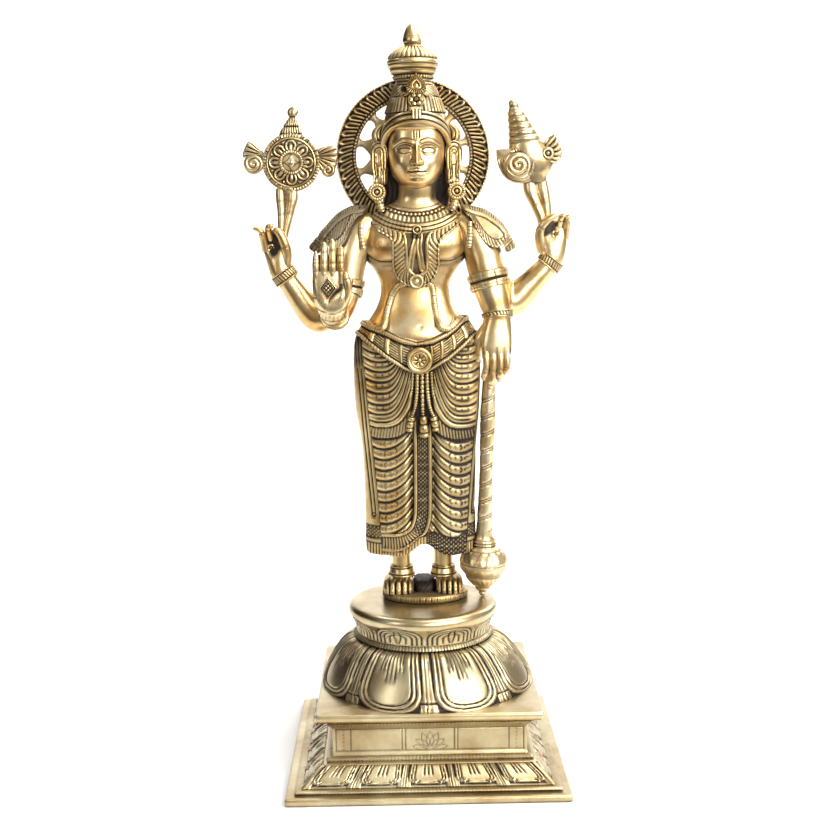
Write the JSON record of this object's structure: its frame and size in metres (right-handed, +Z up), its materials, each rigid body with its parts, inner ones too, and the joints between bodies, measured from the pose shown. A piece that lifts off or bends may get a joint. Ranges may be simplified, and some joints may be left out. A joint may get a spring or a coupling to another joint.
{
  "type": "vishnu figure",
  "caption": "Standing four-armed Vishnu in cast brass, with halo, disc, conch and mace, on a lotus seat over a square stepped plinth.",
  "frame": {"origin": "centre of the plinth's flat underside", "axes": "+Z up through the crown, the figure faces -Y, its left hand with the conch and the mace is on +X"},
  "size_m": [0.2364, 0.198, 0.5328],
  "materials": {
    "plinth_brass": "polished cast brass, pale yellow, dark in the recesses",
    "figure_brass": "polished cast brass, warm yellow, brown-black patina in the recesses",
    "halo_brass": "polished cast brass, duller, dark between the loops",
    "mace_brass": "polished cast brass, bright on the shaft",
    "disc_brass": "polished cast brass, dark in the petals",
    "conch_brass": "polished cast brass, bright, dark in the grooves"
  },
  "bodies": {
    "root": {"plinth": "plinth_brass", "figure": "figure_brass", "halo": "halo_brass", "mace": "mace_brass", "disc": "disc_brass", "conch": "conch_brass"}
  },
  "joints": []
}
